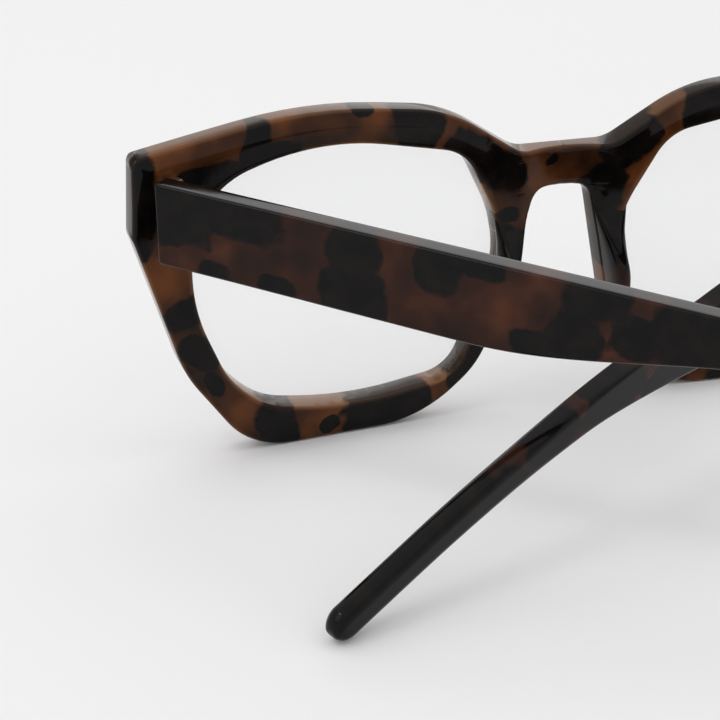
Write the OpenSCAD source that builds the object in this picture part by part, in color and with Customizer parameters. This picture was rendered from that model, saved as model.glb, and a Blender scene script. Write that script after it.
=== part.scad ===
// Acetate eyeglasses with clear blue-light lenses, resting half folded on a flat surface.
// Built upright in the front's own frame, then leaned back as a whole onto its two rims
// and the tip of the right temple. +X is the wearer's right, +Y forwards, +Z up.

/* [Front] */
// Half of the front's width, at the end pieces
front_half_w = 71.5; // [70.5:0.5:72.5]
// Thickness of the front, rear face to front face
front_t = 4.4; // [4:0.1:5]
// Radius of the front's rear face, seen from above
front_r = 500; // [450:10:600]
// Height of the rims' lowest line above the frame's own zero
rim_base_z = 17.8; // [17:0.1:18.6]

/* [Lenses] */
// Thickness of a lens
lens_t = 1.9; // [1.8:0.1:2.2]
// How far the lens's bevelled edge reaches into the rim
lens_bite = 0.8; // [0.6:0.1:1]
// Thickness of the bevelled edge
bevel_t = 0.9; // [0.7:0.1:1.1]
// Gap between lens and rim, all round
lens_gap = 0.04; // [0.02:0.01:0.06]

/* [Nose] */
// How far a nose pad stands out behind the rims
pad_out = 5; // [4.6:0.2:5.4]
// Roundness of a nose pad
pad_r = 2.3; // [2.1:0.1:2.5]

/* [Hinges] */
// Distance of each hinge axis from the middle of the front
hinge_x = 65.1; // [64.9:0.1:65.2]
// Distance of each hinge axis behind the middle of the front
hinge_back = 6.4; // [6.3:0.1:6.6]
// Height of the middle of the hinges
hinge_z = 61.8; // [61.5:0.1:62]
// Sideways lean of both hinge axes, so that the left temple folds over the right one
hinge_lean = 7; // [6.5:0.5:7.5]
// Outer radius of the hinge barrels
barrel_r = 1.25; // [1.2:0.05:1.3]
// Height of one barrel
barrel_h = 1.5; // [1.4:0.05:1.5]
// Space between two barrels
barrel_gap = 0.06; // [0.05:0.01:0.1]
// Radius of the screw's shank
screw_r = 0.7; // [0.65:0.05:0.75]
// Radial clearance of the temple's barrels on the screw
screw_gap = 0.04; // [0.02:0.01:0.08]

/* [Temples] */
// Length of a temple along its top edge
temple_len = 145; // [140:1:150]
// Thickness of a temple
temple_t = 3.6; // [3.5:0.1:3.7]
// Height of a temple at the hinge
temple_h_butt = 12; // [11.5:0.1:12.3]
// Height of a temple at its widest
temple_h_wide = 12.4; // [12:0.1:13]
// Height of a temple over the ear
temple_h_ear = 5.7; // [5.4:0.1:6.5]
// Height of a temple at its tip
temple_h_tip = 5.2; // [5:0.1:6]
// Slope of a temple below the front's normal
temple_droop = 7; // [6.5:0.5:7.5]
// Length of the straight stretch of the top edge
straight_len = 88; // [84:1:92]
// Radius of the bend over the ear
ear_r = 244; // [235:1:255]
// Angle of the bend over the ear
ear_bend = 9.8; // [9:0.1:10.5]
// Fold of the left temple from fully open, as it rests
fold_left = 48; // [46:1:50]
// Fold of the right temple from fully open, as it rests
fold_right = 67; // [66:1:68]

/* [Hidden] */

acetate = [0.23, 0.12, 0.07];
clear = [0.86, 0.93, 0.96, 0.35];
steel = [0.78, 0.78, 0.8];

// Each corner of an outline is [x, z, radius], and outlines run counter-clockwise.
// Right half of the front's outline, from the bottom of the nose gap's side to the bridge
rim_corners = [
    [4.6, 56, 2.8], [12.0, 26.8, 14], [22.2, rim_base_z, 20], [51.5, rim_base_z, 14],
    [62.9, 33, 25], [front_half_w, 57, 3], [front_half_w, 68.9, 1.2], [43.5, 73.3, 80],
    [20.9, 70.6, 25], [8, 62.6, 6]
];
// Right lens opening
lens_corners = [
    [9.5, 43.8, 16], [16.5, 24.8, 6.5], [34.2, 22.3, 54], [49.4, 25.1, 14], [55.8, 31, 16],
    [61.9, 44.2, 30], [62.4, 62.2, 12.5], [42.4, 68.6, 42], [17.7, 63.7, 8], [11.6, 52.5, 20]
];

wall_h = 80;                         // Higher than the front
cut_depth = 40;                      // Deep enough for any cut through the front
front_cut_y = 12;                    // Plane in front of everything, where cuts begin
arc_step = 6;                        // Degrees of turn for each stretch of an outline
big_fn = 360;                        // Facets of the front's large cylinders
round_fn = 48;                       // Facets of small round parts

// The lens sits in the middle of the front's thickness
lens_back = (front_t - lens_t) / 2;
bevel_back = (front_t - bevel_t) / 2;

// The bridge is scooped out behind
scoop_r = 20;
scoop_depth = 1.3;

// Barrel stack: front, temple, front, temple, front
barrel_pitch = barrel_h + barrel_gap;
stack_h = 5 * barrel_h + 4 * barrel_gap;
screw_head_r = 1.1;
screw_head_h = 0.5;
slot_w = 0.3;
slot_depth = 0.25;

// Hinge plates
plate_w = 6.4;
plate_h = 8.4;
plate_t = 1.1;
anchor_r = 0.8;
anchor_len = 1.2;
anchor_span = 4;
leaf_w = 2;                          // Leaves that carry the barrels
leaf_grip = 0.25;                    // How far a leaf runs into its plate
plate_overlap = 0.1;                 // How far an anchor starts inside its plate
sweep_y = front_r - sqrt(front_r * front_r - hinge_x * hinge_x);
leaf_len = hinge_back - sweep_y + leaf_grip;
temple_plate_len = 11;
temple_plate_h = 4.6;
plate_lip = 0.4;                     // How far the temple's plate runs past the axis

// Temple in its open place
temple_top_z = 67;
butt_y = -5.25;
temple_outer_x = hinge_x + 5;
temple_inner_x = temple_outer_x - temple_t;
temple_wide_s = 62;                  // Where the temple is at its widest
temple_fall_s = 48;                  // Where it begins to narrow
temple_ear_s = 97;                   // Where it has narrowed to its ear height
notch_depth = 0.6;
notch_len = barrel_r + 0.3;
notch_h = stack_h + 1.6;
stations = 36;                       // Steps along the temple's outline
core_h = 1.6;
core_t = 1;
core_start = 9;
core_end = 134;
core_gap = 0.02;

// How the glasses lean and where they stand, so that they rest on z = 0
rest_lean = 5.12;
stand_y = 54.26;
stand_z = -17.553;

// Outline helpers
function unit(v) = v / norm(v);
function turn(a, b) = atan2(a.x * b.y - a.y * b.x, a * b);
function outward(d) = [d.y, -d.x];

// The arc that rounds corner i of a closed outline, with the outline grown outwards
function corner_arc(pts, i, grow) =
    let (n = len(pts), c = [pts[i].x, pts[i].y],
        before = pts[(i + n - 1) % n], after = pts[(i + 1) % n],
        d1 = unit(c - [before.x, before.y]), d2 = unit([after.x, after.y] - c),
        n1 = outward(d1), n2 = outward(d2), angle = turn(d1, d2),
        moved = c + (n1 + n2) * grow / (1 + n1 * n2),
        r = pts[i][2] + (angle > 0 ? grow : -grow),
        start = moved - d1 * r * tan(abs(angle) / 2),
        centre = start - n1 * r * sign(angle),
        steps = ceil(abs(angle) / arc_step) + 1)
    [for (k = [0:steps]) let (a = angle * k / steps, v = start - centre)
        centre + [v.x * cos(a) - v.y * sin(a), v.x * sin(a) + v.y * cos(a)]];

function rounded(pts, grow = 0) = [for (i = [0:len(pts) - 1]) each corner_arc(pts, i, grow)];

// Both halves of the front, one after the other, as one closed outline
function both_halves(pts) = concat(pts,
    [for (i = [len(pts) - 1:-1:0]) [-pts[i].x, pts[i].y, pts[i][2]]]);

// Temple outline: a point of the top edge at length s, and its downward direction
bend_len = ear_r * ear_bend * PI / 180;
function bend_angle(s) = max(0, min(ear_bend, (s - straight_len) / ear_r * 180 / PI));
function past_bend(s) = max(0, s - straight_len - bend_len);
function top_point(s) = let (a = bend_angle(s))
    [min(s, straight_len) + ear_r * sin(a) + past_bend(s) * cos(a),
     -ear_r * (1 - cos(a)) - past_bend(s) * sin(a)];
function down(s) = [-sin(bend_angle(s)), -cos(bend_angle(s))];
function ease(u) = let (c = max(0, min(1, u))) c * c * (3 - 2 * c);
function temple_h(s) =
    temple_h_butt + (temple_h_wide - temple_h_butt) * ease(s / temple_wide_s)
    + (temple_h_ear - temple_h_wide) * ease((s - temple_fall_s) / (temple_ear_s - temple_fall_s))
    + (temple_h_tip - temple_h_ear) * ease((s - temple_ear_s) / (temple_len - temple_ear_s));
tip_r = temple_h_tip / 2;
body_len = temple_len - tip_r;

temple_outline = concat(
    [for (i = [0:stations]) top_point(i * body_len / stations)],
    [for (k = [1:7]) let (a = 90 - k * 22.5, c = top_point(body_len) + down(body_len) * tip_r,
        b = a - ear_bend) c + tip_r * [cos(b), sin(b)]],
    [for (i = [stations:-1:0]) let (s = i * body_len / stations)
        top_point(s) + down(s) * temple_h(s)]);

// The wire keeps to the middle of the temple's height
core_outline = concat(
    [for (i = [0:stations]) let (s = core_start + i * (core_end - core_start) / stations)
        top_point(s) + down(s) * (temple_h(s) - core_h) / 2],
    [for (i = [stations:-1:0]) let (s = core_start + i * (core_end - core_start) / stations)
        top_point(s) + down(s) * (temple_h(s) + core_h) / 2]);

// Places
module at_rest() translate([0, stand_y, stand_z]) rotate([rest_lean, 0, 0]) children();

module on_side(side) {
    if (side > 0) children();
    else mirror([1, 0, 0]) children();
}

// Frame of a hinge: its axis is Z, and its middle is the origin
module at_hinge(side)
    translate([side * hinge_x, -hinge_back, hinge_z]) rotate([0, -hinge_lean, 0]) children();

// A temple's parts are drawn open, in the front's frame, and this folds them
module folded(side)
    at_hinge(side) rotate([0, 0, side > 0 ? -fold_right : fold_left])
        rotate([0, hinge_lean, 0]) translate([-side * hinge_x, hinge_back, -hinge_z]) children();

// Solids
// Wall of the curved front, from one depth to another, counted from its rear face
module curved_wall(from, to) {
    translate([0, -front_r, -1]) difference() {
        cylinder(r = front_r + to, h = wall_h, $fn = big_fn);
        translate([0, 0, -1]) cylinder(r = front_r + from, h = wall_h + 2, $fn = big_fn);
    }
}

// An outline carried through the front from side to side
module through(points)
    translate([0, front_cut_y, 0]) rotate([90, 0, 0]) linear_extrude(cut_depth) polygon(points);

module lens_solid(edge, bevel_play) {
    intersection() {
        curved_wall(lens_back, lens_back + lens_t);
        through(rounded(lens_corners, edge));
    }
    intersection() {
        curved_wall(bevel_back - bevel_play, bevel_back + bevel_t + bevel_play);
        through(rounded(lens_corners, lens_bite + bevel_play));
    }
}

// The groove is the lens's bevel with room to seat it
module lens_groove() intersection() {
    curved_wall(bevel_back - lens_gap, bevel_back + bevel_t + lens_gap);
    through(rounded(lens_corners, lens_bite + lens_gap));
}

module front_hinge_plate(side) {
    sweep = asin(hinge_x / front_r);
    translate([side * hinge_x, -sweep_y, hinge_z]) rotate([0, 0, -side * sweep]) {
        translate([-plate_w / 2, 0, -plate_h / 2]) cube([plate_w, plate_t, plate_h]);
        for (z = [-1, 1]) translate([0, plate_t - plate_overlap, z * anchor_span / 2]) rotate([-90, 0, 0])
            cylinder(r = anchor_r, h = anchor_len, $fn = round_fn);
    }
}

module front_frame() at_rest() color(acetate) {
    difference() {
        intersection() {
            curved_wall(0, front_t);
            through(rounded(both_halves(rim_corners)));
        }
        for (side = [-1, 1]) {
            on_side(side) through(rounded(lens_corners));
            on_side(side) lens_groove();
            front_hinge_plate(side);
        }
        translate([0, scoop_depth - scoop_r, 0]) cylinder(r = scoop_r, h = wall_h, $fn = big_fn);
    }
}

// Nose pads are moulded buttresses bonded to the rims beside the nose
module nose_pad(side) at_rest() color(acetate) on_side(side) difference() {
    hull() for (p = [[9.4, -1, 48], [11.2, pad_r - pad_out, 42], [13.6, pad_r - pad_out, 36],
            [13.4, -0.6, 31.5]])
        translate(p) sphere(r = pad_r, $fn = 32);
    curved_wall(0, 3 * front_t);
}

module lens(side) at_rest() color(clear) on_side(side) lens_solid(-lens_gap, 0);

// One barrel of the stack, counted from the bottom, bored through
module barrel(i, bore_r) translate([0, 0, i * barrel_pitch - stack_h / 2]) difference() {
    children();
    translate([0, 0, -1]) cylinder(r = bore_r, h = barrel_h + 2, $fn = round_fn);
}

module hinge_front(side) at_rest() color(steel) {
    front_hinge_plate(side);
    for (i = [0, 2, 4]) at_hinge(side) barrel(i, i == 0 ? screw_r : screw_r + screw_gap) union() {
        cylinder(r = barrel_r, h = barrel_h, $fn = round_fn);
        translate([-leaf_w / 2, 0, 0]) cube([leaf_w, leaf_len, barrel_h]);
    }
}

module hinge_screw(side) at_rest() color(steel) at_hinge(side) {
    translate([0, 0, -stack_h / 2]) cylinder(r = screw_r, h = stack_h + 0.01, $fn = round_fn);
    translate([0, 0, stack_h / 2]) difference() {
        cylinder(r = screw_head_r, h = screw_head_h, $fn = round_fn);
        translate([-2 * screw_head_r, -slot_w / 2, screw_head_h - slot_depth])
            cube([4 * screw_head_r, slot_w, screw_head_h]);
    }
}

// Plate let into the inner face of the temple
module temple_hinge_plate(side) on_side(side)
    translate([temple_inner_x, -hinge_back - temple_plate_len, hinge_z - temple_plate_h / 2])
        cube([plate_t, temple_plate_len + plate_lip, temple_plate_h]);

module hinge_temple(side) at_rest() color(steel) folded(side) {
    temple_hinge_plate(side);
    for (i = [1, 3]) at_hinge(side) barrel(i, screw_r + screw_gap) union() {
        cylinder(r = barrel_r, h = barrel_h, $fn = round_fn);
        translate([side > 0 ? 0 : -leaf_w, -barrel_r, 0]) cube([leaf_w, barrel_r, barrel_h]);
    }
}

// Shallow notch in the temple's inner face that clears the barrels
module barrel_notch(side) on_side(side)
    translate([temple_inner_x - notch_depth, -hinge_back - notch_len, hinge_z - notch_h / 2])
        cube([2 * notch_depth, 2 * notch_len, notch_h]);

// An outline in the temple's own plane, as a slab between two distances from the outer face
module temple_slab(points, inset, thick)
    translate([temple_outer_x - inset, butt_y, temple_top_z]) rotate([temple_droop, 0, 0])
        rotate([0, 0, -90]) rotate([90, 0, 0]) linear_extrude(thick) polygon(points);

module core_slab(play) temple_slab(core_outline, (temple_t - core_t) / 2 - play, core_t + 2 * play);

module core_wire(side) at_rest() color(steel) folded(side) on_side(side) core_slab(0);

module temple(side) at_rest() color(acetate) folded(side) difference() {
    on_side(side) difference() {
        temple_slab(temple_outline, 0, temple_t);
        core_slab(core_gap);
        translate([hinge_x - cut_depth / 2, butt_y, temple_top_z - cut_depth / 2])
            cube(cut_depth);
    }
    temple_hinge_plate(side);
    barrel_notch(side);
}

front_frame();
nose_pad(-1);  // nose_pad_left
nose_pad(1);  // nose_pad_right
lens(-1);  // lens_left
lens(1);  // lens_right
hinge_front(-1);  // hinge_front_left
hinge_front(1);  // hinge_front_right
hinge_screw(-1);  // hinge_screw_left
hinge_screw(1);  // hinge_screw_right
hinge_temple(-1);  // hinge_temple_left
hinge_temple(1);  // hinge_temple_right
core_wire(-1);  // core_wire_left
core_wire(1);  // core_wire_right
temple(-1);  // temple_left
temple(1);  // temple_right
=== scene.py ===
"""Tortoise acetate eyeglasses, resting half folded on a pale floor."""
import math

import bmesh
import bpy
import numpy as np
from mathutils import Matrix, Vector


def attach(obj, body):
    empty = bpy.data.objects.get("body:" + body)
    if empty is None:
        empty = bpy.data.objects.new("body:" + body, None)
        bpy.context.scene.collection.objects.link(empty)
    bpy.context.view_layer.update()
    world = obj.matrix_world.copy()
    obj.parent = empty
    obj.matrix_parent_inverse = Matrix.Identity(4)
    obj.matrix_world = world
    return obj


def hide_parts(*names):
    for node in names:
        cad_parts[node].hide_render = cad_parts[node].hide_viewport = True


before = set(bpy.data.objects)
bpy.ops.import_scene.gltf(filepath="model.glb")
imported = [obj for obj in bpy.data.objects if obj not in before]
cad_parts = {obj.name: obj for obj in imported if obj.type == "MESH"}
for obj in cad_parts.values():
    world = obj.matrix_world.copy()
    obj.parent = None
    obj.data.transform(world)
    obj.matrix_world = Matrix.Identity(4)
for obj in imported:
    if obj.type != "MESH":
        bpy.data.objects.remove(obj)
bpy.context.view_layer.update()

# ---------------------------------------------------------------- sizes, mm, in the front's own frame
# x to the right, y forwards and z up, on the upright front. Side -1 is the left and side 1 the right.
MM = 0.001
LEAN = math.radians(5.12)                   # of the whole part, as it rests on its rims and a temple
STAND = np.array([0.0, 54.26, -17.553])     # from the front's own origin to the row's
FRONT_R, FRONT_T = 500.0, 4.4               # the front's curve seen from above, and its thickness
# outlines of the right half, as corners (x, z, radius of the corner)
RIM = [(4.6, 56, 2.8), (12.0, 26.8, 14), (22.2, 17.8, 20), (51.5, 17.8, 14), (62.9, 33, 25),
       (71.5, 57, 3), (71.5, 68.9, 1.2), (43.5, 73.3, 80), (20.9, 70.6, 25), (8, 62.6, 6)]
LENS = [(9.5, 43.8, 16), (16.5, 24.8, 6.5), (34.2, 22.3, 54), (49.4, 25.1, 14), (55.8, 31, 16),
        (61.9, 44.2, 30), (62.4, 62.2, 12.5), (42.4, 68.6, 42), (17.7, 63.7, 8), (11.6, 52.5, 20)]
HINGE = np.array([65.1, -6.4, 61.8])        # a point on the right hinge's axis
HINGE_LEAN = math.radians(7)
DROOP = math.radians(7)                     # how far a temple slopes down from the front
FOLD = {-1: math.radians(48), 1: math.radians(67)}
TEMPLE_T, TEMPLE_X, TEMPLE_TOP, BUTT_Y = 3.6, 70.1, 67.0, -5.25
TEMPLE_LEN, STRAIGHT, EAR_R, EAR_BEND = 145.0, 88.0, 244.0, math.radians(9.8)


def leaned(v):
    """Directions of the front's own frame, in the row frame."""
    x, y, z = np.moveaxis(np.asarray(v, float), -1, 0)
    c, s = math.cos(LEAN), math.sin(LEAN)
    return np.stack([x, y * c - z * s, y * s + z * c], -1)


def to_row(p):
    """Points of the front's own frame, in mm, to the row frame, in metres."""
    return (leaned(np.atleast_2d(p)) + STAND) * MM


# ---------------------------------------------------------------- outlines
def rounded(corners, step=2.5):
    """Closed outline of corners (x, z, radius), each rounded by an arc with a point every step degrees."""
    out, n = [], len(corners)
    for i, (x, z, radius) in enumerate(corners):
        corner = np.array([x, z], float)
        d1 = corner - np.array(corners[i - 1][:2], float)
        d2 = np.array(corners[(i + 1) % n][:2], float) - corner
        d1, d2 = d1 / np.linalg.norm(d1), d2 / np.linalg.norm(d2)
        turn = math.atan2(d1[0] * d2[1] - d1[1] * d2[0], d1 @ d2)
        start = corner - d1 * radius * math.tan(abs(turn) / 2)
        centre = start - np.array([d1[1], -d1[0]]) * radius * np.sign(turn)
        v = start - centre
        pieces = max(2, int(math.degrees(abs(turn)) / step))
        for a in np.linspace(0, turn, pieces + 1):
            out.append(centre + [v[0] * math.cos(a) - v[1] * math.sin(a),
                                 v[0] * math.sin(a) + v[1] * math.cos(a)])
    return np.array(out)


def dense(loop, spacing, closed=True):
    """The same line with evenly spaced points."""
    pts = np.vstack([loop, loop[:1]]) if closed else loop
    seg = np.linalg.norm(np.diff(pts, axis=0), axis=1)
    arc = np.concatenate([[0], np.cumsum(seg)])
    t = np.linspace(0, arc[-1], max(4, int(arc[-1] / spacing)) + 1)
    got = np.stack([np.interp(t, arc, pts[:, 0]), np.interp(t, arc, pts[:, 1])], 1)
    return got[:-1] if closed else got


def soften(loop, rounds):
    """Each point moved towards its neighbours, rounds times."""
    for _ in range(rounds):
        loop = (np.roll(loop, 1, 0) + 2 * loop + np.roll(loop, -1, 0)) / 4
    return loop


def dist_to(loop, p):
    """Distance of points p to a closed polyline."""
    ab = np.roll(loop, -1, 0) - loop
    best = np.full(len(p), np.inf)
    for start, along in zip(loop, ab):
        t = np.clip(((p - start) @ along) / (along @ along + 1e-12), 0, 1)
        best = np.minimum(best, np.hypot(*(p - start - t[:, None] * along).T))
    return best


def on_curve(x):
    """How far the front's curve has swept back at x."""
    return FRONT_R - np.sqrt(FRONT_R ** 2 - x ** 2)


def ease(u):
    """0 to 1 with a soft start and end."""
    c = min(1.0, max(0.0, u))
    return c * c * (3 - 2 * c)


# ---------------------------------------------------------------- shader helpers
def nodes_of(name):
    m = bpy.data.materials.new(name)
    m.use_nodes = True
    return m, m.node_tree, m.node_tree.nodes["Principled BSDF"]


def put(nt, kind, **values):
    n = nt.nodes.new(kind)
    for k, v in values.items():
        setattr(n, k, v)
    return n


def noise(nt, at, scale, detail=2.0):
    n = put(nt, "ShaderNodeTexNoise")
    n.inputs["Scale"].default_value = scale
    n.inputs["Detail"].default_value = detail
    nt.links.new(at, n.inputs["Vector"])
    return n.outputs["Fac"]


def math_node(nt, op, a, b):
    n = put(nt, "ShaderNodeMath", operation=op)
    for i, x in enumerate((a, b)):
        if isinstance(x, (int, float)):
            n.inputs[i].default_value = x
        else:
            nt.links.new(x, n.inputs[i])
    return n.outputs[0]


def colour_ramp(nt, factor, stops, interpolation="LINEAR"):
    n = put(nt, "ShaderNodeValToRGB")
    n.color_ramp.interpolation = interpolation
    e = n.color_ramp.elements
    e[0].position, e[0].color = stops[0]
    e[1].position, e[1].color = stops[-1]
    for at, colour in stops[1:-1]:
        e.new(at).color = colour
    nt.links.new(factor, n.inputs[0])
    return n.outputs["Color"]


def vary_roughness(nt, bsdf, source, low, high):
    r = put(nt, "ShaderNodeMapRange")
    r.inputs["To Min"].default_value = low
    r.inputs["To Max"].default_value = high
    nt.links.new(source, r.inputs["Value"])
    nt.links.new(r.outputs[0], bsdf.inputs["Roughness"])


def bumped(nt, bsdf, height, strength, distance):
    b = put(nt, "ShaderNodeBump")
    b.inputs["Strength"].default_value = strength
    b.inputs["Distance"].default_value = distance
    nt.links.new(height, b.inputs["Height"])
    nt.links.new(b.outputs[0], bsdf.inputs["Normal"])


# ---------------------------------------------------------------- materials
def tortoise(name, depth=1.0):
    """Cast acetate: warm brown with near-black blotches, cloudy inside and polished outside.

    The mesh says where the blotches are (dark), where the edges get a painted glow (painted_edge_glow) and
    where each point lies in the sheet, in mm (pattern_at). A depth under 1 paints the brown darker, as
    painted shade.
    """
    m, nt, bsdf = nodes_of(name)
    at = put(nt, "ShaderNodeAttribute", attribute_name="pattern_at").outputs["Vector"]
    dark = put(nt, "ShaderNodeAttribute", attribute_name="dark").outputs["Fac"]
    painted_edge_glow = put(nt, "ShaderNodeAttribute", attribute_name="painted_edge_glow").outputs["Fac"]

    def wobble(scale, detail, amount):
        return math_node(nt, "MULTIPLY", math_node(nt, "SUBTRACT", noise(nt, at, scale, detail), 0.5), amount)

    edge = math_node(nt, "ADD", wobble(0.20, 2.0, 1.0), wobble(0.65, 4.0, 0.26))
    blotch = colour_ramp(nt, math_node(nt, "ADD", dark, edge),
                         [(0.34, (0, 0, 0, 1)), (0.54, (1, 1, 1, 1))], "EASE")
    # a depth under 1 paints the lighter browns darker: painted shade
    brown = colour_ramp(nt, noise(nt, at, 0.10, 2.5),
                        [(0.38, (0.014, 0.0060, 0.0035, 1)),
                         (0.53, (0.050 * depth, 0.0165 * depth, 0.0055, 1)),
                         (0.72, (0.135 * depth, 0.042 * depth, 0.0105, 1))])
    ink = colour_ramp(nt, noise(nt, at, 0.3),
                      [(0.35, (0.0020, 0.0018, 0.0018, 1)), (0.75, (0.0070, 0.0048, 0.0040, 1))])
    mix = put(nt, "ShaderNodeMix", data_type="RGBA")
    nt.links.new(blotch, mix.inputs["Factor"])
    nt.links.new(brown, mix.inputs["A"])
    nt.links.new(ink, mix.inputs["B"])
    # where the sheet is thin, the brown is painted a lighter amber: a painted glow that stands in for light
    # coming through the edges
    clear_of_ink = math_node(nt, "SUBTRACT", 1.0, math_node(nt, "MULTIPLY", blotch, 0.85))
    painted_glow_mix = put(nt, "ShaderNodeMix", data_type="RGBA")
    painted_glow_mix.inputs["B"].default_value = (0.25, 0.125, 0.062, 1)
    nt.links.new(math_node(nt, "MULTIPLY", painted_edge_glow, clear_of_ink), painted_glow_mix.inputs["Factor"])
    nt.links.new(mix.outputs["Result"], painted_glow_mix.inputs["A"])
    nt.links.new(painted_glow_mix.outputs["Result"], bsdf.inputs["Base Color"])
    bsdf.inputs["IOR"].default_value = 1.49
    bsdf.inputs["Subsurface Weight"].default_value = 0.06
    bsdf.inputs["Subsurface Radius"].default_value = (0.0022, 0.0009, 0.0004)
    bsdf.inputs["Subsurface Scale"].default_value = 1.0
    bsdf.inputs["Specular IOR Level"].default_value = 0.15
    vary_roughness(nt, bsdf, noise(nt, at, 0.5, 4.0), 0.07, 0.15)
    bumped(nt, bsdf, noise(nt, at, 0.35, 1.0), 0.05, 0.0002)
    return m


def steel(name, tone, roughest):
    """Drawn steel: its fine grain varies the roughness and the relief."""
    m, nt, bsdf = nodes_of(name)
    stretch = put(nt, "ShaderNodeMapping")
    stretch.inputs["Scale"].default_value = (900, 900, 9000)
    nt.links.new(put(nt, "ShaderNodeTexCoord").outputs["Object"], stretch.inputs["Vector"])
    grain = noise(nt, stretch.outputs[0], 1.0, 3.0)
    vary_roughness(nt, bsdf, grain, 0.16, roughest)
    bumped(nt, bsdf, grain, 0.12, 0.00003)
    bsdf.inputs["Base Color"].default_value = (*tone, 1)
    bsdf.inputs["Metallic"].default_value = 1.0
    return m


def clear_lens():
    """Clear plastic: nearly all light passes, and the polish varies very slightly."""
    m, nt, bsdf = nodes_of("lens_clear")
    at = put(nt, "ShaderNodeTexCoord").outputs["Object"]
    vary_roughness(nt, bsdf, noise(nt, at, 60.0), 0.015, 0.045)
    bsdf.inputs["Base Color"].default_value = (0.86, 0.90, 0.93, 1)
    bsdf.inputs["Alpha"].default_value = 0.07
    bsdf.inputs["IOR"].default_value = 1.6
    bsdf.inputs["Specular IOR Level"].default_value = 1.0
    return m


def plain(name, colour, rough):
    m, _, bsdf = nodes_of(name)
    bsdf.inputs["Base Color"].default_value = (*colour, 1)
    bsdf.inputs["Roughness"].default_value = rough
    return m


acetate = tortoise("tortoise_acetate")
# the temples' copy of the acetate has its brown painted darker, as painted shade
temple_acetate = tortoise("tortoise_temple_painted_shade", depth=0.58)
steel_satin = steel("hinge_steel_satin", (0.90, 0.88, 0.85), 0.42)
steel_screw = steel("screw_steel", (0.80, 0.79, 0.77), 0.26)
steel_core = steel("core_steel_drawn", (0.62, 0.62, 0.63), 0.45)
lens_mat = clear_lens()


# ---------------------------------------------------------------- mesh helpers
def make(name, verts_row, faces, mat, pattern, dark, slot, body, *stands_for, painted_edge_glow=None):
    """One piece, riding on its body in place of the CAD nodes it stands for."""
    me = bpy.data.meshes.new(name)
    me.from_pydata([tuple(v) for v in verts_row], [], faces)
    me.validate()
    if dark is not None:
        a = me.attributes.new("dark", "FLOAT", "POINT")
        a.data.foreach_set("value", np.asarray(dark, np.float32))
        # weight of the painted glow along the edges, when given
        if painted_edge_glow is not None:
            w = me.attributes.new("painted_edge_glow", "FLOAT", "POINT")
            w.data.foreach_set("value", np.asarray(painted_edge_glow, np.float32))
        p = me.attributes.new("pattern_at", "FLOAT_VECTOR", "POINT")
        p.data.foreach_set("vector", np.asarray(pattern, np.float32).ravel())
    me.shade_smooth()
    me.materials.append(mat)
    o = bpy.data.objects.new(name, me)
    bpy.context.scene.collection.objects.link(o)
    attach(o, body)
    if stands_for:
        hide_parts(*stands_for)
    return o


def weld(ob):
    """Join the points that lie on each other, and turn every face outwards."""
    bm = bmesh.new()
    bm.from_mesh(ob.data)
    bmesh.ops.remove_doubles(bm, verts=bm.verts, dist=1e-7)
    bmesh.ops.recalc_face_normals(bm, faces=bm.faces)
    bm.to_mesh(ob.data)
    bm.free()


def tube_faces(rings, around, flip):
    """Faces of a closed tube of rings, with a cap on each end."""
    f = []
    for i in range(rings - 1):
        for j in range(around):
            k = (j + 1) % around
            f.append([i * around + j, i * around + k, (i + 1) * around + k, (i + 1) * around + j])
    f.append(list(range(around))[::-1])
    f.append([(rings - 1) * around + j for j in range(around)])
    return [q[::-1] for q in f] if flip else f


BLOTCH_POWER = 2.7      # between a round blotch (2) and a square one


def blotches(u, v, spots):
    """Soft field, 1 inside the blotches and 0 outside: spots are (u, v, half length, half height, tilt)."""
    field = np.zeros(len(u))
    for cu, cv, ru, rv, tilt in spots:
        c, s = math.cos(math.radians(tilt)), math.sin(math.radians(tilt))
        du, dv = u - cu, v - cv
        a, b = (du * c + dv * s) / ru, (-du * s + dv * c) / rv
        far = (np.abs(a) ** BLOTCH_POWER + np.abs(b) ** BLOTCH_POWER) ** (1 / BLOTCH_POWER)
        field = np.maximum(field, np.clip(1.5 - far, 0, 1))
    return field


# ---------------------------------------------------------------- front
BRIDGE_LOW, BRIDGE_TOP = 56.0, 62.6     # the bridge on the middle line
OUTLINE_STEP = 0.35
EDGE_R, LENS_R = 0.62, 0.4              # rounding of the outer edge and of the lens opening
EDGE_SHARE, LENS_SHARE = 0.35, 0.3      # the most of the rim's width that each rounding takes
SCOOP_R, SCOOP_DEPTH = 20.0, 1.3        # the hollow behind the bridge
BEVEL_WIDTH, BEVEL_DEPTH = 2.6, 0.55    # the bevel behind the brow, which starts
BEVEL_X, BEVEL_Z, BEVEL_FADE = 14, 62, 5    # past this x and above this z, and deepens over this rise

# points of the outer boundary and of the lens opening that lie opposite each other
PAIRS = [((0.0, 56.0), (12.7, 57.2)), ((2.6, 56.0), (12.2, 55.4)), ((4.9, 54.6), (11.2, 51.4)),
         ((9.0, 39.0), (11.4, 38.0)), ((14.2, 22.0), (16.9, 25.4)), ((36.0, 17.8), (35.5, 22.4)),
         ((56.0, 21.0), (51.0, 26.6)), ((66.5, 42.5), (61.0, 42.6)), ((71.4, 56.5), (62.1, 52.5)),
         ((71.5, 68.9), (59.2, 62.6)), ((57.5, 71.1), (52.5, 65.8)), ((43.5, 73.0), (42.4, 68.2)),
         ((21.5, 70.4), (22.0, 64.9)), ((8.2, 63.0), (15.6, 62.4)), ((0.0, 62.6), (13.8, 60.2))]

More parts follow.
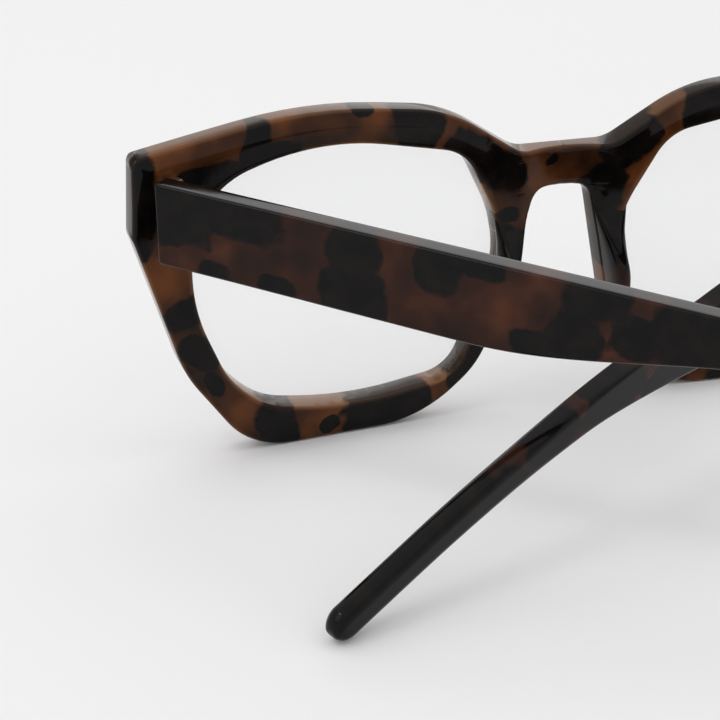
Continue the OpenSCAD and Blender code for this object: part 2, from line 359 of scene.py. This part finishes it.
# dark blotches of the front, as (x, z, half length, half height, tilt)
FRONT_SPOTS = [
    (-71.0, 61.5, 3.2, 8.0, 0), (-60.0, 64.2, 5.4, 2.6, 8), (-52.6, 68.4, 2.0, 4.0, -10),
    (-48.4, 66.8, 3.8, 2.2, 5), (-35.6, 73.2, 1.9, 2.0, 20), (-26.0, 69.4, 4.4, 4.0, -6),
    (-15.4, 62.0, 7.0, 3.4, -32), (-9.6, 60.0, 2.2, 3.6, 20), (-10.2, 51.6, 2.8, 1.7, 25),
    (-9.6, 44.5, 4.2, 3.6, 0), (-62.6, 43.8, 5.0, 2.6, 14), (-60.6, 36.8, 3.8, 2.6, -30),
    (-58.2, 30.8, 1.3, 2.4, 35), (-47.6, 21.6, 3.3, 5.4, 6), (-38.4, 20.0, 1.5, 1.2, 30),
    (-28.6, 21.0, 6.8, 4.2, 6), (-13.6, 28.0, 3.0, 6.2, -28), (-2.0, 60.6, 1.4, 0.9, 30),
    (6.6, 54.2, 3.8, 5.4, -14), (11.4, 62.8, 5.2, 3.2, 38), (23.8, 67.4, 3.8, 5.0, -12),
    (9.6, 46.0, 3.8, 4.0, 0), (38.0, 71.4, 5.6, 2.4, 8), (50.0, 69.0, 2.8, 5.0, 10),
    (61.0, 66.0, 4.4, 3.0, -12), (70.6, 61.0, 3.4, 7.6, 0), (63.6, 47.0, 5.0, 3.0, -14),
    (59.6, 33.0, 4.2, 3.4, 40), (51.0, 22.4, 3.6, 5.0, -8), (37.0, 20.4, 6.0, 4.4, 0),
    (21.6, 22.0, 4.4, 4.2, 30), (13.6, 33.0, 4.2, 3.6, 20)]

full_rim = rounded(RIM + [(-x, z, r) for x, z, r in RIM[::-1]])
lens_line = rounded(LENS)


def nearest(loop, keys):
    return [int(np.argmin(np.hypot(loop[:, 0] - x, loop[:, 1] - z))) for x, z in keys]


def between(loop, i, j, n):
    """n points along the loop from index i up to but not at index j."""
    if j <= i:
        j += len(loop)
    idx = np.linspace(i, j, n + 1)[:-1]
    lo = np.floor(idx).astype(int)
    w = (idx - lo)[:, None]
    return loop[lo % len(loop)] * (1 - w) + loop[(lo + 1) % len(loop)] * w


def opposite_lines():
    """The right half's outer boundary and lens opening, with as many points and opposite each other."""
    half = np.vstack([[(0.0, BRIDGE_LOW)], full_rim[full_rim[:, 0] > 0], [(0.0, BRIDGE_TOP)]])
    middle = np.stack([np.zeros(12), np.linspace(BRIDGE_TOP, BRIDGE_LOW, 14)[1:-1]], 1)
    outer = np.vstack([dense(half, OUTLINE_STEP, closed=False), middle])
    inner = dense(lens_line, OUTLINE_STEP)
    outer_at = nearest(outer, [p[0] for p in PAIRS])
    inner_at = nearest(inner, [p[1] for p in PAIRS])
    outs, ins = [], []
    for k in range(len(PAIRS)):
        after = (k + 1) % len(PAIRS)
        span = (outer_at[after] - outer_at[k]) % len(outer)
        n = max(10, int(span * 0.9)) if after else len(middle)
        outs.append(between(outer, outer_at[k], outer_at[after], n))
        ins.append(between(inner, inner_at[k], inner_at[after], n))
    return np.vstack(outs), soften(np.vstack(ins), 2)


def rim_grid():
    """Rings from the lens opening out to the outer boundary, closer together where an edge is rounded."""
    outs, ins = opposite_lines()
    gap = np.linalg.norm(outs - ins, axis=1)
    turns = np.radians(np.linspace(0, 90, 7))
    shares = [np.minimum(LENS_R * (1 - math.cos(t)) / gap, LENS_SHARE) for t in turns]
    lo, hi = np.minimum(LENS_R / gap, LENS_SHARE), 1 - np.minimum(EDGE_R / gap, EDGE_SHARE)
    shares += [lo + (hi - lo) * u for u in np.linspace(0, 1, 13)[1:-1]]
    rings = [ins + (outs - ins) * share[:, None] for share in shares]
    for t in turns[::-1]:
        share = np.minimum(EDGE_R * (1 - math.cos(t)) / gap, EDGE_SHARE)
        rings.append(outs + (ins - outs) * share[:, None])
    return np.array(rings)


def drop(d, r):
    """Fall of an edge rounded by radius r, at distance d from it."""
    q = np.clip(1 - d / r, 0, 1)
    return r - r * np.sqrt(np.clip(1 - q * q, 0, 1))


def half_faces(rings, around, xs, side):
    """Faces of one half: rear, front, the lens opening's wall and the outer wall."""
    f, base = [], rings * around
    for i in range(rings - 1):
        for j in range(around):
            k = (j + 1) % around
            q = [i * around + j, i * around + k, (i + 1) * around + k, (i + 1) * around + j]
            if side < 0:
                q = q[::-1]
            f += [q, [base + x for x in q[::-1]]]
    for i in (0, rings - 1):
        for j in range(around):
            a, b = i * around + j, i * around + (j + 1) % around
            if i and xs[a] < 1e-6 and xs[b] < 1e-6:
                continue        # the two halves meet here
            q = [a, base + a, base + b, b] if i == 0 else [b, base + b, base + a, a]
            f.append(q if side > 0 else q[::-1])
    return f


def build_front():
    """Both rims and the bridge: one grid, with a rear and a front face, mirrored and welded."""
    grid = rim_grid()
    rings, around = grid.shape[:2]
    x, z = grid.reshape(-1, 2).T
    d_out = dist_to(dense(full_rim, 0.6), grid.reshape(-1, 2))
    d_in = dist_to(dense(lens_line, 0.5), grid.reshape(-1, 2))
    fall = np.maximum(drop(d_out, EDGE_R), drop(d_in, LENS_R))
    scoop = np.maximum(0, SCOOP_DEPTH - (SCOOP_R - np.sqrt(np.maximum(SCOOP_R ** 2 - x ** 2, 0))))
    bevel = np.clip(1 - d_out / BEVEL_WIDTH, 0, 1) * BEVEL_DEPTH * np.clip((z - BEVEL_Z) / BEVEL_FADE, 0, 1)
    rear = -on_curve(x) + fall + scoop + np.where(x > BEVEL_X, bevel, 0)
    fore = -on_curve(x) + FRONT_T - fall
    verts, faces = [], []
    for side in (1, -1):
        first = len(verts) * rings * around
        faces += [[first + n for n in q] for q in half_faces(rings, around, x, side)]
        verts += [np.stack([side * x, y, z], 1) for y in (rear, fore)]
    verts = np.vstack(verts)
    # weight of the painted glow: strong along the lens opening, weaker along the outer edge
    painted_edge_glow = np.clip(1 - d_in / 0.5, 0, 1) * 0.8 + np.clip(1 - d_out / 0.45, 0, 1) * 0.35
    dark = blotches(verts[:, 0], verts[:, 2], FRONT_SPOTS)
    weld(make("front_acetate_shell", to_row(verts), faces, acetate, verts, dark, "front_acetate", "front",
              "front_frame", painted_edge_glow=np.tile(painted_edge_glow, 4)))


build_front()

# ---------------------------------------------------------------- lenses
LENS_GROW = 1.015                       # the lens's edge lies inside the rim's groove
LENS_REAR, LENS_FORE = 1.25, 3.15       # its two faces, ahead of the front's rear face
LENS_BEVEL = 0.12
SHELLS = [1.0, 0.985, 0.95, 0.85, 0.7, 0.5, 0.3, 0.12]


def build_lens(side, name, node):
    edge = dense(rounded(LENS), 0.7)
    c = edge.mean(0)
    edge = c + (edge - c) * LENS_GROW
    v, f, k, n = [], [], len(edge), len(SHELLS)
    for y0, bevel in ((LENS_REAR, LENS_BEVEL), (LENS_FORE, -LENS_BEVEL)):
        for s in SHELLS:
            p = c + (edge - c) * s
            y = y0 - on_curve(p[:, 0]) + (bevel if s == 1.0 else 0)
            v.append(np.stack([side * p[:, 0], y, p[:, 1]], 1))
    for layer in (0, 1):
        keep = (layer == 0) == (side > 0)
        for i in range(layer * n, layer * n + n - 1):
            for j in range(k):
                q = [i * k + j, i * k + (j + 1) % k, (i + 1) * k + (j + 1) % k, (i + 1) * k + j]
                f.append(q if keep else q[::-1])
        cap = [(layer * n + n - 1) * k + j for j in range(k)]
        f.append(cap if keep else cap[::-1])
    for j in range(k):
        q = [j, n * k + j, n * k + (j + 1) % k, (j + 1) % k]
        f.append(q if side > 0 else q[::-1])
    make(name, to_row(np.vstack(v)), f, lens_mat, None, None, "lens", "front", node)


build_lens(-1, "lens_left_clear", "lens_left")
build_lens(1, "lens_right_clear", "lens_right")

# ---------------------------------------------------------------- nose pads
PAD_ROWS, PAD_COLS = 48, 40
PAD_TOP, PAD_LONG = 52.6, 24.0
PAD_OUT, PAD_SINK, PAD_WIDER = 5.7, 0.9, 1.3    # how far it stands out, starts inside the rim, and swells
PAD_SPOTS = {-1: [(-9.5, 46.0, 5.0, 5.0, 0), (-13.4, 32.0, 2.4, 2.6, 0)],
             1: [(8.4, 50.5, 5.0, 3.0, 0), (7.0, 42.0, 1.6, 9.0, -14), (10.8, 45.4, 2.0, 2.6, 20),
                 (12.6, 33.0, 2.6, 3.4, 0)]}


def pad_ring(z, swell):
    """Section of a pad at height z, from the rim's nasal edge to the edge of the lens opening."""
    nose = 4.75 + (56 - z) / 29.2 * 7.4
    glass = float(np.interp(z, [28, 32, 36, 40, 44, 48, 52], [15.2, 13.2, 12.0, 11.2, 10.7, 10.9, 11.7]))
    out, wide = PAD_OUT * swell - PAD_SINK, PAD_WIDER * swell
    ring = np.array([(nose + 0.05, 1.4), (nose + 0.1, 0.2 - 0.2 * out), (nose + 0.3, -0.62 * out),
                     (nose + 0.75 + wide * 0.3, -out), (nose + 1.5 + wide, -out),
                     (glass - 0.5 + wide * 0.7, -0.62 * out), (glass + 0.1 + wide * 0.35, 0.2 - 0.15 * out),
                     (glass - 0.4, 1.6)])
    for _ in range(3):      # cut the corners
        ahead = np.roll(ring, -1, 0)
        ring = np.stack([ring * 0.75 + ahead * 0.25, ring * 0.25 + ahead * 0.75], 1).reshape(-1, 2)
    ring = dense(ring, 0.05)
    return ring[np.linspace(0, len(ring), PAD_COLS, endpoint=False).astype(int)]


def build_pad(side, name, node):
    """Moulded buttress on the nasal side of the rim: its foot is buried in the rim."""
    v = []
    for t in [i / PAD_ROWS for i in range(PAD_ROWS + 1)]:
        z = PAD_TOP - PAD_LONG * t
        swell = (0.5 - 0.5 * math.cos(2 * math.pi * t ** 0.85)) ** 0.72
        v += [(side * x, y - x * x / (2 * FRONT_R), z) for x, y in pad_ring(z, swell)]
    v = np.array(v)
    make(name, to_row(v), tube_faces(PAD_ROWS + 1, PAD_COLS, side < 0), acetate, v,
         blotches(v[:, 0], v[:, 2], PAD_SPOTS[side]), "nose_pad", "front", node)


build_pad(-1, "nose_pad_left_moulded", "nose_pad_left")
build_pad(1, "nose_pad_right_moulded", "nose_pad_right")

# ---------------------------------------------------------------- temples
BUTT_H, WIDE_H, NECK_H, TIP_H = 12.0, 12.4, 5.7, 5.2    # the temple's height along its length
BUTT_ROUND, BUTT_EDGE = 0.4, 0.3                        # rounding of its front end, along and inwards
TIP_R = 2.6
CORNER_POINTS, TALL_POINTS, THIN_POINTS = 8, 14, 4      # of a section: at a corner, and along its sides

# dark blotches of the temples, as (distance from the front end, depth, half length, half height, tilt)
TEMPLE_SPOTS = {
    -1: [(3.4, 3.4, 5.6, 5.2, 0), (12.0, 1.6, 7.6, 3.6, 2), (9.6, 10.9, 2.5, 1.4, 5),
         (20.0, 10.9, 2.9, 1.5, 5), (30.6, 2.6, 3.6, 3.6, 0), (31.2, 8.8, 4.9, 4.0, 8),
         (42.6, 2.4, 3.5, 3.4, 0), (49.0, 0.8, 3.4, 1.9, 0), (64.8, 1.6, 4.4, 2.8, 0),
         (58.0, 10.6, 4.4, 2.5, 0), (62.4, 8.0, 3.8, 3.6, 0), (70.6, 5.4, 3.2, 3.0, 0),
         (77.6, 4.0, 5.6, 4.4, 0), (88.0, 4.0, 7.0, 5.0, 0), (101.0, 2.4, 6.4, 2.4, 0),
         (113.0, 3.6, 6.0, 2.6, 0), (127.0, 2.0, 7.0, 2.4, 0), (139.0, 3.2, 5.4, 3.0, 0)],
    1: [(4.0, 6.0, 5.5, 6.0, 0), (21.0, 9.0, 6.0, 3.4, 0), (33.0, 2.4, 4.6, 3.2, 0),
        (47.0, 8.4, 6.0, 4.0, 0), (63.0, 2.6, 5.2, 3.4, 0), (77.0, 6.6, 6.0, 4.0, 0),
        (90.0, 2.6, 6.6, 3.0, 0), (103.0, 1.6, 5.6, 2.8, 0), (113.0, 3.4, 5.0, 3.0, 0),
        (123.0, 2.2, 8.6, 4.2, 0), (137.0, 2.4, 9.0, 4.4, 0)]}
PATTERN_SHIFT = {-1: 0, 1: 40}      # so that the two temples aren't clouded alike


def temple_h(s):
    """Height of the temple at distance s from its front end."""
    return (BUTT_H + (WIDE_H - BUTT_H) * ease(s / 62) + (NECK_H - WIDE_H) * ease((s - 48) / 49)
            + (TIP_H - NECK_H) * ease((s - 97) / 48))


def top_point(s):
    """The top edge at distance s, as (along, up), and how far it has bent down there."""
    a = min(EAR_BEND, max(0.0, (s - STRAIGHT) / EAR_R))
    past = max(0.0, s - STRAIGHT - EAR_R * EAR_BEND)
    return (np.array([min(s, STRAIGHT) + EAR_R * math.sin(a) + past * math.cos(a),
                      -EAR_R * (1 - math.cos(a)) - past * math.sin(a)]), a)


def turned(p, side):
    """Points of the open temple, folded about its leaning hinge axis."""
    o = HINGE * [side, 1, 1]
    k = np.array([-math.sin(HINGE_LEAN), 0, math.cos(HINGE_LEAN)])
    a = -side * FOLD[side]
    v = np.atleast_2d(p) - o
    return o + v * math.cos(a) + np.cross(k, v) * math.sin(a) + np.outer(v @ k, k) * (1 - math.cos(a))


def section(h, t, r, r_top):
    """Rounded rectangle as (depth below the top edge, distance from the outer face), outer face first."""
    r, r_top = min(r, h / 2 * 0.98, t / 2 * 0.98), min(r_top, h / 2 * 0.98, t / 2 * 0.98)
    corners = [(r_top, r_top, 180, r_top), (h - r, r, 270, r), (h - r, t - r, 0, r),
               (r_top, t - r_top, 90, r_top)]
    pts = [(depth + radius * math.cos(a), inwards + radius * math.sin(a))
           for depth, inwards, start, radius in corners
           for a in np.radians(start + np.linspace(0, 90, CORNER_POINTS))]
    out = []
    for i, (depth, inwards) in enumerate(pts):
        out.append((depth, inwards))
        if i % CORNER_POINTS == CORNER_POINTS - 1:      # the flat up to the next corner
            next_depth, next_in = pts[(i + 1) % len(pts)]
            k = TALL_POINTS if abs(next_depth - depth) > abs(next_in - inwards) else THIN_POINTS
            out += [(depth + (next_depth - depth) * w / k, inwards + (next_in - inwards) * w / k)
                    for w in range(1, k)]
    return np.array(out)


def temple_section(s):
    """Section of the temple at distance s, rounded off at its two ends."""
    h, t = temple_h(s), TEMPLE_T - 0.25 * ease((s - 90) / 50)
    height, thick = h, t
    to_tip = s - (TEMPLE_LEN - TIP_R)
    if to_tip > 0:
        q = math.sqrt(max(0.0, 1 - (to_tip / TIP_R) ** 2))
        height, thick = h * max(q, 0.03), t * (0.12 + 0.88 * math.sqrt(q))
    if s < BUTT_ROUND:
        inset = BUTT_EDGE * (1 - math.sqrt(max(0.0, 1 - (1 - s / BUTT_ROUND) ** 2)))
        height, thick = h - 2 * inset, t - 2 * inset
    rounder = ease((s - 82) / 30)
    return section(height, thick, 0.6 + rounder, 0.42 + 1.1 * rounder) + [(h - height) / 2, (t - thick) / 2]


def build_temple(side, name, body, node):
    stations = [0, 0.03, 0.08, 0.16, 0.26, 0.4] + list(np.linspace(1.0, TEMPLE_LEN - TIP_R, 190))
    stations += [TEMPLE_LEN - TIP_R + TIP_R * math.sin(a) for a in np.radians(np.linspace(5, 88, 16))]
    v, sheet = [], []       # sheet: (distance, depth, distance from the outer face)
    for s in stations:
        (top_along, top_up), a = top_point(s)
        square = math.tan(DROOP) * max(0.0, 1 - s / 16)     # the front end is cut upright
        for d, i in temple_section(s):
            along = top_along - math.sin(a) * d + d * square
            up = top_up - math.cos(a) * d
            v.append((side * (TEMPLE_X - i), BUTT_Y - along * math.cos(DROOP) - up * math.sin(DROOP),
                      TEMPLE_TOP - along * math.sin(DROOP) + up * math.cos(DROOP)))
            sheet.append((s, d, i))
    s, d, i = np.array(sheet).T
    faces = tube_faces(len(stations), len(v) // len(stations), side > 0)
    make(name, to_row(turned(np.array(v), side)), faces, temple_acetate,
         np.stack([s + PATTERN_SHIFT[side], d, i * 0.6], 1), blotches(s, d, TEMPLE_SPOTS[side]),
         "temple_acetate", body, node)


build_temple(-1, "temple_left_acetate", "left_arm", "temple_left")
build_temple(1, "temple_right_acetate", "right_arm", "temple_right")

# ---------------------------------------------------------------- CAD pieces that are shown
for node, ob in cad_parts.items():
    if ob.hide_render:
        continue
    metal = steel_screw if "screw" in node else steel_core if "core" in node else steel_satin
    ob.data.materials.clear()
    ob.data.materials.append(metal)
    if "hinge" in node:
        b = ob.modifiers.new("soft_edges", "BEVEL")
        b.width, b.segments, b.limit_method = 0.00008, 2, "ANGLE"

# ---------------------------------------------------------------- studio
bpy.context.scene.view_settings.view_transform = "Standard"

bpy.ops.mesh.primitive_plane_add(size=6, location=(0, 0, 0))
floor = bpy.context.object
floor.name = "studio_floor"
floor.data.materials.append(plain("paper_floor", (0.83, 0.83, 0.835), 0.9))

world = bpy.data.worlds.new("studio")
bpy.context.scene.world = world
world.use_nodes = True
background = world.node_tree.nodes["Background"]
background.inputs["Color"].default_value = (1.0, 0.997, 0.994, 1)
background.inputs["Strength"].default_value = 0.80


def softbox(name, where, to, size, power):
    d = bpy.data.lights.new(name, "AREA")
    d.shape, d.size, d.size_y, d.energy = "RECTANGLE", size[0], size[1], power
    o = bpy.data.objects.new(name, d)
    bpy.context.scene.collection.objects.link(o)
    o.location = where
    o.rotation_mode = "QUATERNION"
    o.rotation_quaternion = (Vector(to) - Vector(where)).to_track_quat("-Z", "Y")


softbox("overhead", (-0.1, -0.15, 1.2), (0, 0, 0.02), (2.2, 2.2), 3.7)
softbox("edge_strip", (-0.52, -0.13, 0.84), (0, 0, 0.03), (0.34, 0.12), 0.9)
softbox("left_fill", (-1.0, -0.5, 0.75), (0, 0, 0.03), (0.9, 0.7), 1.6)
softbox("back_strip", (0.5, 1.2, 0.6), (0, 0, 0.03), (1.2, 0.5), 2.0)

# ---------------------------------------------------------------- camera, in the front's own frame
CAM_PAN, CAM_DOWN, CAM_ROLL = (math.radians(x) for x in (22.4, 27.2, 3.3))
CAM_AIM, CAM_FAR = np.array([-33.2, 0, 30.0]), 316.0
back = np.array([-math.sin(CAM_PAN) * math.cos(CAM_DOWN), -math.cos(CAM_PAN) * math.cos(CAM_DOWN),
                 math.sin(CAM_DOWN)])
level = np.array([math.cos(CAM_PAN), -math.sin(CAM_PAN), 0.0])
upright = np.cross(back, level)
right = math.cos(CAM_ROLL) * level + math.sin(CAM_ROLL) * upright
up = -math.sin(CAM_ROLL) * level + math.cos(CAM_ROLL) * upright
cam_data = bpy.data.cameras.new("camera")
cam_data.lens, cam_data.sensor_width = 100, 36
cam_data.clip_start, cam_data.clip_end = 0.01, 20
cam = bpy.data.objects.new("camera", cam_data)
bpy.context.scene.collection.objects.link(cam)
axes = np.stack([leaned(right), leaned(up), leaned(back), to_row(CAM_AIM + CAM_FAR * back)[0]], 1)
cam.matrix_world = Matrix(np.vstack([axes, [0, 0, 0, 1]]).tolist())
bpy.context.scene.camera = cam
